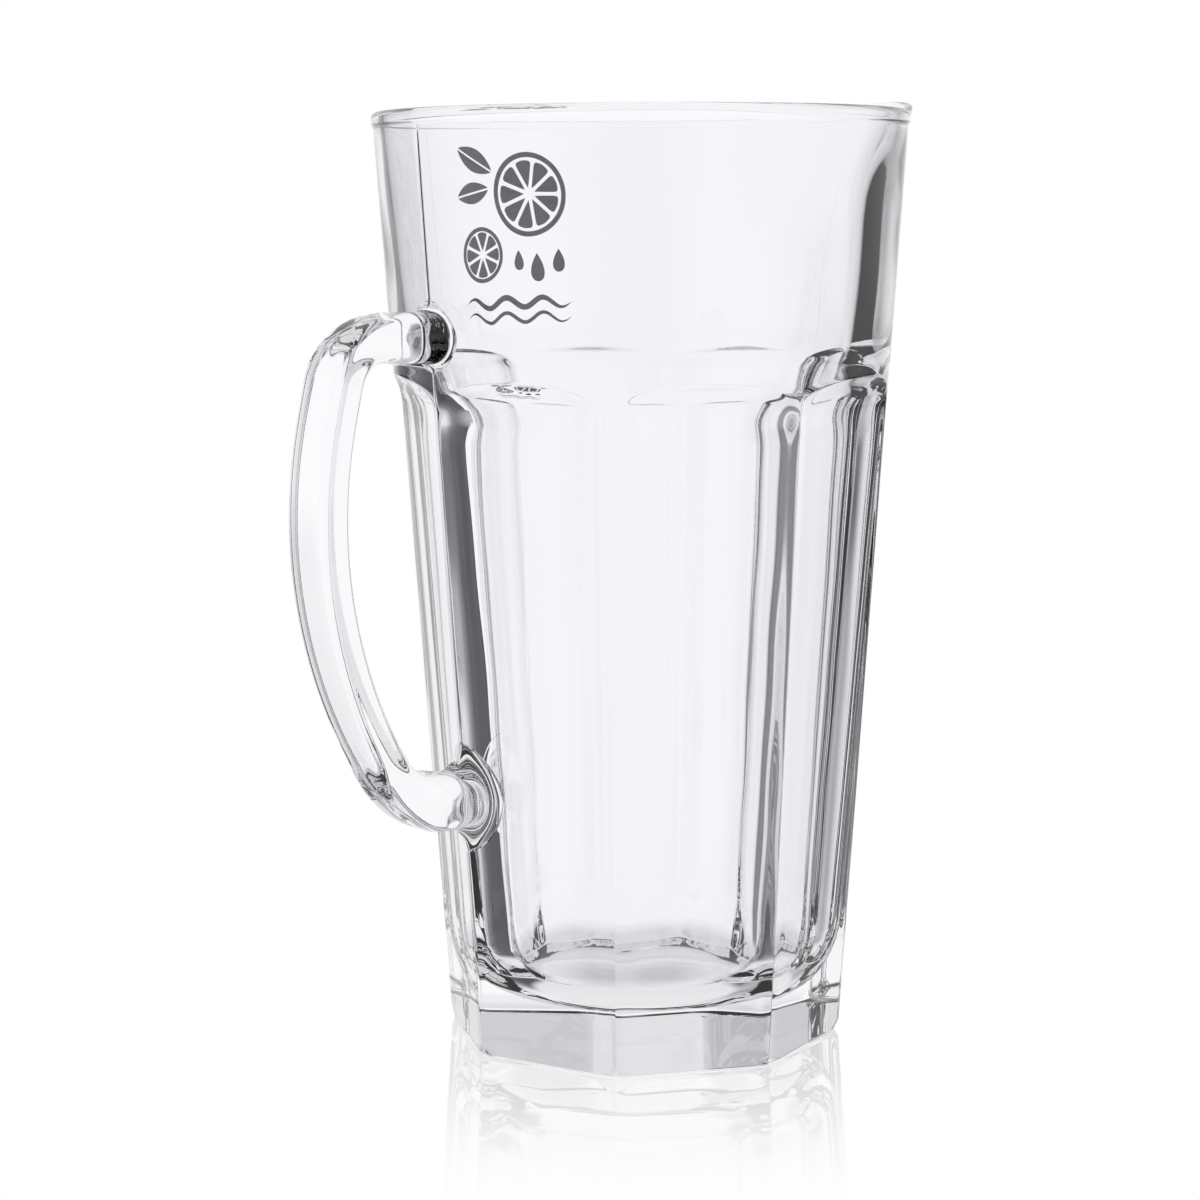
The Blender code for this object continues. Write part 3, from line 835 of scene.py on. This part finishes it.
def fired_enamel(name):
    """Fired screen-print enamel: near black, half matt and a little uneven where the screen laid it thin."""
    material, tree = empty_material(name)
    place = add_node(tree, "ShaderNodeTexCoord")
    mottle = add_node(tree, "ShaderNodeTexNoise", inputs={
        "Vector": place.outputs["Object"], "Scale": 1.0 / MOTTLE_SIZE, "Detail": MOTTLE_DETAIL})
    tone = add_node(tree, "ShaderNodeMix", {"data_type": "RGBA"},
                    {0: mottle.outputs[0], 6: linear(ENAMEL_THICK), 7: linear(ENAMEL_THIN)})
    paint = add_node(tree, "ShaderNodeBsdfPrincipled", inputs={
        "Base Color": tone.outputs[2], "Roughness": ENAMEL_ROUGHNESS, "IOR": ENAMEL_INDEX})
    add_node(tree, "ShaderNodeOutputMaterial", inputs={"Surface": paint.outputs[0]})
    return material


def enamel_print():
    """All shells of the print as one piece."""
    points, faces, total = [], [], 0
    for shell_points, shell_faces in print_shells():
        points.append(shell_points)
        faces.append(shell_faces + total)
        total += len(shell_points)
    groups = [(np.concatenate(faces), 0, False)]
    return mesh_object("enamel_print", np.concatenate(points), groups, [fired_enamel("black_fired_enamel")])


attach(enamel_print(), "root")


COOL_GREY = (1.03, 1.02, 0.97)


def cool_greys(rows):
    """Ramp stops from (share of the way, value) rows, each channel the value to a power of its own.

    The powers are close to 1, so the greys only turn a little bluish as they darken.
    """
    return [(place, (*(value ** power for power in COOL_GREY), 1.0)) for place, value in rows]


def card_stops(rows):
    """Ramp stops from (azimuth in degrees, value) rows; the way is one turn, from -180 degrees on."""
    return cool_greys([((azimuth + 180.0) / 360.0, value) for azimuth, value in rows])


# Shade under the base that light bent by the glass finds, as (share of the reach, value)
CONTACT_REACH = 0.080
CONTACT_SHADE = (
    (0.0, 0.50), (0.08, 0.51), (0.20, 0.70), (0.32, 0.87), (0.54, 0.88), (0.58, 0.74), (0.66, 0.74),
    (0.74, 0.88),
)
BENT_FADE = (0.055, 0.085)

# The lit sheet is all white; it mirrors the foot at a slant, less and less with distance from the axis
SHEET_RADIUS = (0.02, 0.9)
SHEET_RINGS, SHEET_SPOKES = 24, 96
SHEET_DROP = 0.0001
FLOOR_INDEX = 1.45
FLOOR_SHINE = 1.7
FLOOR_SHINE_FROM = 0.050
FLOOR_FADE_FROM = 0.054
FLOOR_FADE_TO = 0.185

# Card behind the handle: its reach from the axis towards -X, its height and its place along Y
CARD_REACH = (-0.40, -0.078)
CARD_HEIGHT = 0.28
CARD_PLACE = 0.030
CARD_STEPS = 6


def acrylic_sheet():
    """Glossy white acrylic, lit from below as a light table is.

    The eye gets plain white with no shadow, and a mirror image of the foot that is clearer at a slant and
    fades out with distance. Light bent by the glass finds a painted soft shadow under the base, and light
    mirrored inside the glass goes through to the studio.
    """
    material, tree = empty_material("white_acrylic_sheet")
    place = add_node(tree, "ShaderNodeTexCoord").outputs["Object"]
    reach = add_node(tree, "ShaderNodeVectorMath", {"operation": "LENGTH"}, {0: place}).outputs["Value"]
    path = add_node(tree, "ShaderNodeLightPath").outputs
    white = add_node(tree, "ShaderNodeEmission", inputs={"Strength": 1.0})
    mirror = add_node(tree, "ShaderNodeBsdfGlossy", inputs={"Color": WHITE, "Roughness": 0.0})
    shine = add_node(tree, "ShaderNodeMapRange", SMOOTH_STEP, {
        "Value": reach, "From Min": FLOOR_SHINE_FROM, "From Max": FLOOR_FADE_TO,
        "To Min": FLOOR_SHINE, "To Max": 0.0})
    slant = add_node(tree, "ShaderNodeFresnel", inputs={"IOR": FLOOR_INDEX})
    gloss = add_node(tree, "ShaderNodeMath", {"operation": "MULTIPLY", "use_clamp": True},
                     {0: shine.outputs["Result"], 1: slant.outputs[0]})
    sheet = add_node(tree, "ShaderNodeMixShader",
                     inputs={0: gloss.outputs[0], 1: white.outputs[0], 2: mirror.outputs[0]})
    outward = add_node(tree, "ShaderNodeMath", {"operation": "DIVIDE"}, {0: reach, 1: CONTACT_REACH})
    # painted contact shadow under the base, darkest at the middle and in a ring near the foot's edge
    shade = add_node(tree, "ShaderNodeValToRGB", inputs={0: outward.outputs[0]},
                     stops=cool_greys(CONTACT_SHADE))
    glow = add_node(tree, "ShaderNodeEmission", inputs={"Color": shade.outputs["Color"]})
    lit = add_node(tree, "ShaderNodeMixShader",
                   inputs={0: path["Is Transmission Ray"], 1: sheet.outputs[0], 2: glow.outputs[0]})
    mirrored = add_node(tree, "ShaderNodeMath", {"operation": "MINIMUM"},
                        {0: path["Glossy Depth"], 1: path["Transmission Depth"]})
    away = add_node(tree, "ShaderNodeMapRange", SMOOTH_STEP,
                    {"Value": reach, "From Min": BENT_FADE[0], "From Max": BENT_FADE[1]})
    bent_away = add_node(tree, "ShaderNodeMath", {"operation": "MULTIPLY"},
                         {0: away.outputs["Result"], 1: path["Transmission Depth"]})
    past = add_node(tree, "ShaderNodeMath", {"operation": "MAXIMUM"},
                    {0: mirrored.outputs[0], 1: bent_away.outputs[0]})
    fade = add_node(tree, "ShaderNodeMapRange", SMOOTH_STEP,
                    {"Value": reach, "From Min": FLOOR_FADE_FROM, "From Max": FLOOR_FADE_TO})
    see_past = add_node(tree, "ShaderNodeMath", {"operation": "MAXIMUM", "use_clamp": True},
                        {0: past.outputs[0], 1: fade.outputs["Result"]})
    clear = add_node(tree, "ShaderNodeBsdfTransparent")
    surface = add_node(tree, "ShaderNodeMixShader",
                       inputs={0: see_past.outputs[0], 1: lit.outputs[0], 2: clear.outputs[0]})
    add_node(tree, "ShaderNodeOutputMaterial", inputs={"Surface": surface.outputs[0]})
    return material


def studio_floor():
    """A round flat sheet under the pitcher, a polar grid of radius and angle."""
    radius = np.linspace(*SHEET_RADIUS, SHEET_RINGS)[:, None]
    angle = np.linspace(0.0, FULL_TURN, SHEET_SPOKES, endpoint=False)[None, :]
    ring = np.stack((radius * np.cos(angle), radius * np.sin(angle), 0.0 * radius * angle), axis=-1)
    numbers = grid_numbers(ring)
    points = np.concatenate((ring.reshape(-1, 3), np.zeros((1, 3)))) - np.array((0.0, 0.0, SHEET_DROP))
    groups = [
        (grid_faces(closed_ring(numbers))[:, :, ::-1], 0, True),
        (fan_faces(numbers.size, numbers[0], False), 0, True),
    ]
    return mesh_object("studio_floor", points, groups, [acrylic_sheet()])


def foam_board():
    """White foam board, lit, that only light mirrored inside the glass sees; it brightens the handle."""
    material, tree = empty_material("white_foam_board")
    path = add_node(tree, "ShaderNodeLightPath").outputs
    mirrored = add_node(tree, "ShaderNodeMath", {"operation": "MINIMUM", "use_clamp": True},
                        {0: path["Glossy Depth"], 1: path["Transmission Depth"]})
    clear = add_node(tree, "ShaderNodeBsdfTransparent")
    white = add_node(tree, "ShaderNodeEmission", inputs={"Strength": 1.0})
    board = add_node(tree, "ShaderNodeMixShader",
                     inputs={0: mirrored.outputs[0], 1: clear.outputs[0], 2: white.outputs[0]})
    add_node(tree, "ShaderNodeOutputMaterial", inputs={"Surface": board.outputs[0]})
    return material


def bounce_card():
    """A flat card behind the handle, a grid of distance out and height."""
    out, up = np.meshgrid(np.linspace(*CARD_REACH, CARD_STEPS), np.linspace(0.0, CARD_HEIGHT, CARD_STEPS))
    points = np.stack((out, 0.0 * out + CARD_PLACE, up), axis=-1)
    groups = [(grid_faces(grid_numbers(points)), 0, False)]
    return mesh_object("bounce_card", points.reshape(-1, 3), groups, [foam_board()])


studio_floor()
bounce_card()


# What light mirrored inside the glass finds round the studio, as (azimuth in degrees, brightness)
CARDS_LOW = (
    (-180.0, 0.94), (-165.0, 0.83), (-148.0, 0.68), (-130.0, 0.72), (-105.0, 0.90), (-95.0, 0.95),
    (-70.0, 0.80), (-58.0, 0.58), (-47.0, 0.14), (-36.0, 0.04), (-27.0, 0.05), (-18.0, 0.22), (-8.0, 0.48),
    (5.0, 0.55), (15.0, 0.38), (25.0, 0.50), (35.0, 0.70), (65.0, 0.92), (75.0, 0.92), (80.0, 0.86),
    (87.0, 0.52), (95.0, 0.20), (104.0, 0.10), (112.0, 0.07), (134.0, 0.06), (143.0, 0.28), (153.0, 0.70),
    (166.0, 0.87), (177.0, 0.96),
)
CARDS_MIDDLE = (
    (-180.0, 1.0), (-160.0, 0.92), (-145.0, 0.72), (-128.0, 0.65), (-112.0, 0.80), (-98.0, 1.0),
    (-60.0, 0.92), (-40.0, 0.74), (-28.0, 0.80), (-14.0, 0.90), (-5.0, 0.55), (2.0, 0.10), (12.0, 0.06),
    (17.0, 0.20), (25.0, 0.50), (34.0, 0.80), (45.0, 0.92), (68.0, 0.92), (76.0, 0.90), (79.5, 0.80),
    (81.5, 0.05), (88.0, 0.05), (94.0, 0.10), (104.0, 0.12), (115.0, 0.06), (125.0, 0.06), (135.0, 0.30),
    (150.0, 0.95),
)
CARDS_HIGH = (
    (-180.0, 1.0), (-160.0, 0.95), (-140.0, 0.72), (-125.0, 0.74), (-105.0, 0.93), (-80.0, 0.96),
    (-55.0, 0.88), (-35.0, 0.76), (-22.0, 0.60), (-10.0, 0.38), (3.0, 0.12), (12.0, 0.12), (18.0, 0.45),
    (35.0, 0.78), (60.0, 0.70), (76.0, 0.62), (79.5, 0.55), (81.5, 0.06), (88.0, 0.12), (96.0, 0.40),
    (112.0, 0.52), (128.0, 0.70), (150.0, 0.92), (170.0, 1.0),
)
OVERHEAD = (
    (-180.0, 0.68), (0.0, 0.68), (25.0, 0.62), (40.0, 0.74), (55.0, 0.80), (68.0, 0.74), (85.0, 0.55),
    (110.0, 0.62), (140.0, 0.68),
)

# Brightness straight below, and the elevations in degrees over which each layer takes over, going up
STEEP_LEVEL = (0.84, 0.84, 0.84, 1.0)
LAYERS = (
    (-46.0, -34.0, CARDS_LOW), (-12.5, -9.5, CARDS_MIDDLE), (-4.5, -1.0, CARDS_HIGH), (4.0, 16.0, OVERHEAD),
)

# What light that the glass only bends finds, in the same rows: white and one dark card
SIDE_CARD = ((-180.0, 1.0), (2.0, 1.0), (5.0, 0.16), (18.0, 0.20), (23.0, 1.0))

# Z of a direction, from where to where light mirrored by the outside comes to see the cards too
BELOW_HORIZON = (-0.02, -0.18)


def studio_world():
    """White all round to the eye; light that has been inside the glass finds soft dark cards.

    Light mirrored by the glass sees cards that change with height, light only bent by it one narrow card.
    """
    world = bpy.data.worlds.new("studio")
    world.use_nodes = True
    tree = world.node_tree
    tree.nodes.clear()
    way = add_node(tree, "ShaderNodeTexCoord").outputs["Generated"]
    split = add_node(tree, "ShaderNodeSeparateXYZ", inputs={0: way}).outputs
    turn = add_node(tree, "ShaderNodeMath", {"operation": "ARCTAN2"}, {0: split["Y"], 1: split["X"]})
    share = add_node(tree, "ShaderNodeMapRange", inputs={
        "Value": turn.outputs[0], "From Min": -math.pi, "From Max": math.pi}).outputs["Result"]
    cards = STEEP_LEVEL
    for start, end, rows in LAYERS:
        layer = add_node(tree, "ShaderNodeValToRGB", inputs={0: share}, stops=card_stops(rows))
        climb = add_node(tree, "ShaderNodeMapRange", SMOOTH_STEP, {
            "Value": split["Z"], "From Min": math.sin(math.radians(start)),
            "From Max": math.sin(math.radians(end))})
        blend = add_node(tree, "ShaderNodeMix", {"data_type": "RGBA"},
                         {0: climb.outputs["Result"], 6: cards, 7: layer.outputs["Color"]})
        cards = blend.outputs[2]
    path = add_node(tree, "ShaderNodeLightPath").outputs
    below = add_node(tree, "ShaderNodeMapRange", SMOOTH_STEP,
                     {"Value": split["Z"], "From Min": BELOW_HORIZON[0], "From Max": BELOW_HORIZON[1]})
    on_glass = add_node(tree, "ShaderNodeMath", {"operation": "MAXIMUM"},
                        {0: path["Transmission Depth"], 1: below.outputs["Result"]})
    mirrored = add_node(tree, "ShaderNodeMath", {"operation": "MINIMUM"},
                        {0: path["Glossy Depth"], 1: on_glass.outputs[0]})
    to_eye = add_node(tree, "ShaderNodeMath", {"operation": "LESS_THAN"}, {0: path["Diffuse Depth"], 1: 0.5})
    mirror_gate = add_node(tree, "ShaderNodeMath", {"operation": "MINIMUM"},
                           {0: mirrored.outputs[0], 1: to_eye.outputs[0]})
    bent_gate = add_node(tree, "ShaderNodeMath", {"operation": "MINIMUM"},
                         {0: path["Transmission Depth"], 1: to_eye.outputs[0]})
    side = add_node(tree, "ShaderNodeValToRGB", inputs={0: share}, stops=card_stops(SIDE_CARD))
    bent = add_node(tree, "ShaderNodeMix", {"data_type": "RGBA"},
                    {0: bent_gate.outputs[0], 6: WHITE, 7: side.outputs["Color"]})
    seen = add_node(tree, "ShaderNodeMix", {"data_type": "RGBA"},
                    {0: mirror_gate.outputs[0], 6: bent.outputs[2], 7: cards})
    light = add_node(tree, "ShaderNodeBackground", inputs={"Color": seen.outputs[2], "Strength": 1.0})
    add_node(tree, "ShaderNodeOutputWorld", inputs={"Surface": light.outputs[0]})
    bpy.context.scene.world = world


studio_world()


# The photograph's viewpoint, found by fitting a pinhole to the octagon's corners, ridges and rim
SENSOR_WIDTH = 36.0
FOCAL_LENGTH = 84.33
CLIP_START = 0.01
CAMERA_PLACE = (-0.4362, -0.5670, 0.21098)
CAMERA_HEADING = math.radians(-36.71)
CAMERA_TILT = math.radians(90.0 - 7.928)
CAMERA_ROLL = -0.00537


def photo_camera():
    """The camera at the photograph's viewpoint: turned to its heading, tilted down and rolled a little."""
    lens = bpy.data.cameras.new("photo_camera")
    lens.sensor_width = SENSOR_WIDTH
    lens.lens = FOCAL_LENGTH
    lens.clip_start = CLIP_START
    camera = bpy.data.objects.new("photo_camera", lens)
    bpy.context.scene.collection.objects.link(camera)
    camera.matrix_world = (
        Matrix.Translation(CAMERA_PLACE)
        @ Matrix.Rotation(CAMERA_HEADING, 4, "Z")
        @ Matrix.Rotation(CAMERA_TILT, 4, "X")
        @ Matrix.Rotation(CAMERA_ROLL, 4, "Z")
    )
    bpy.context.scene.camera = camera


photo_camera()
scene = bpy.context.scene
scene.view_settings.view_transform = "Standard"

# Light passes many walls; six mirror bounces leave dark what the glass traps, as in its base
scene.cycles.max_bounces = 24
scene.cycles.transmission_bounces = 24
scene.cycles.glossy_bounces = 6
scene.cycles.transparent_max_bounces = 32
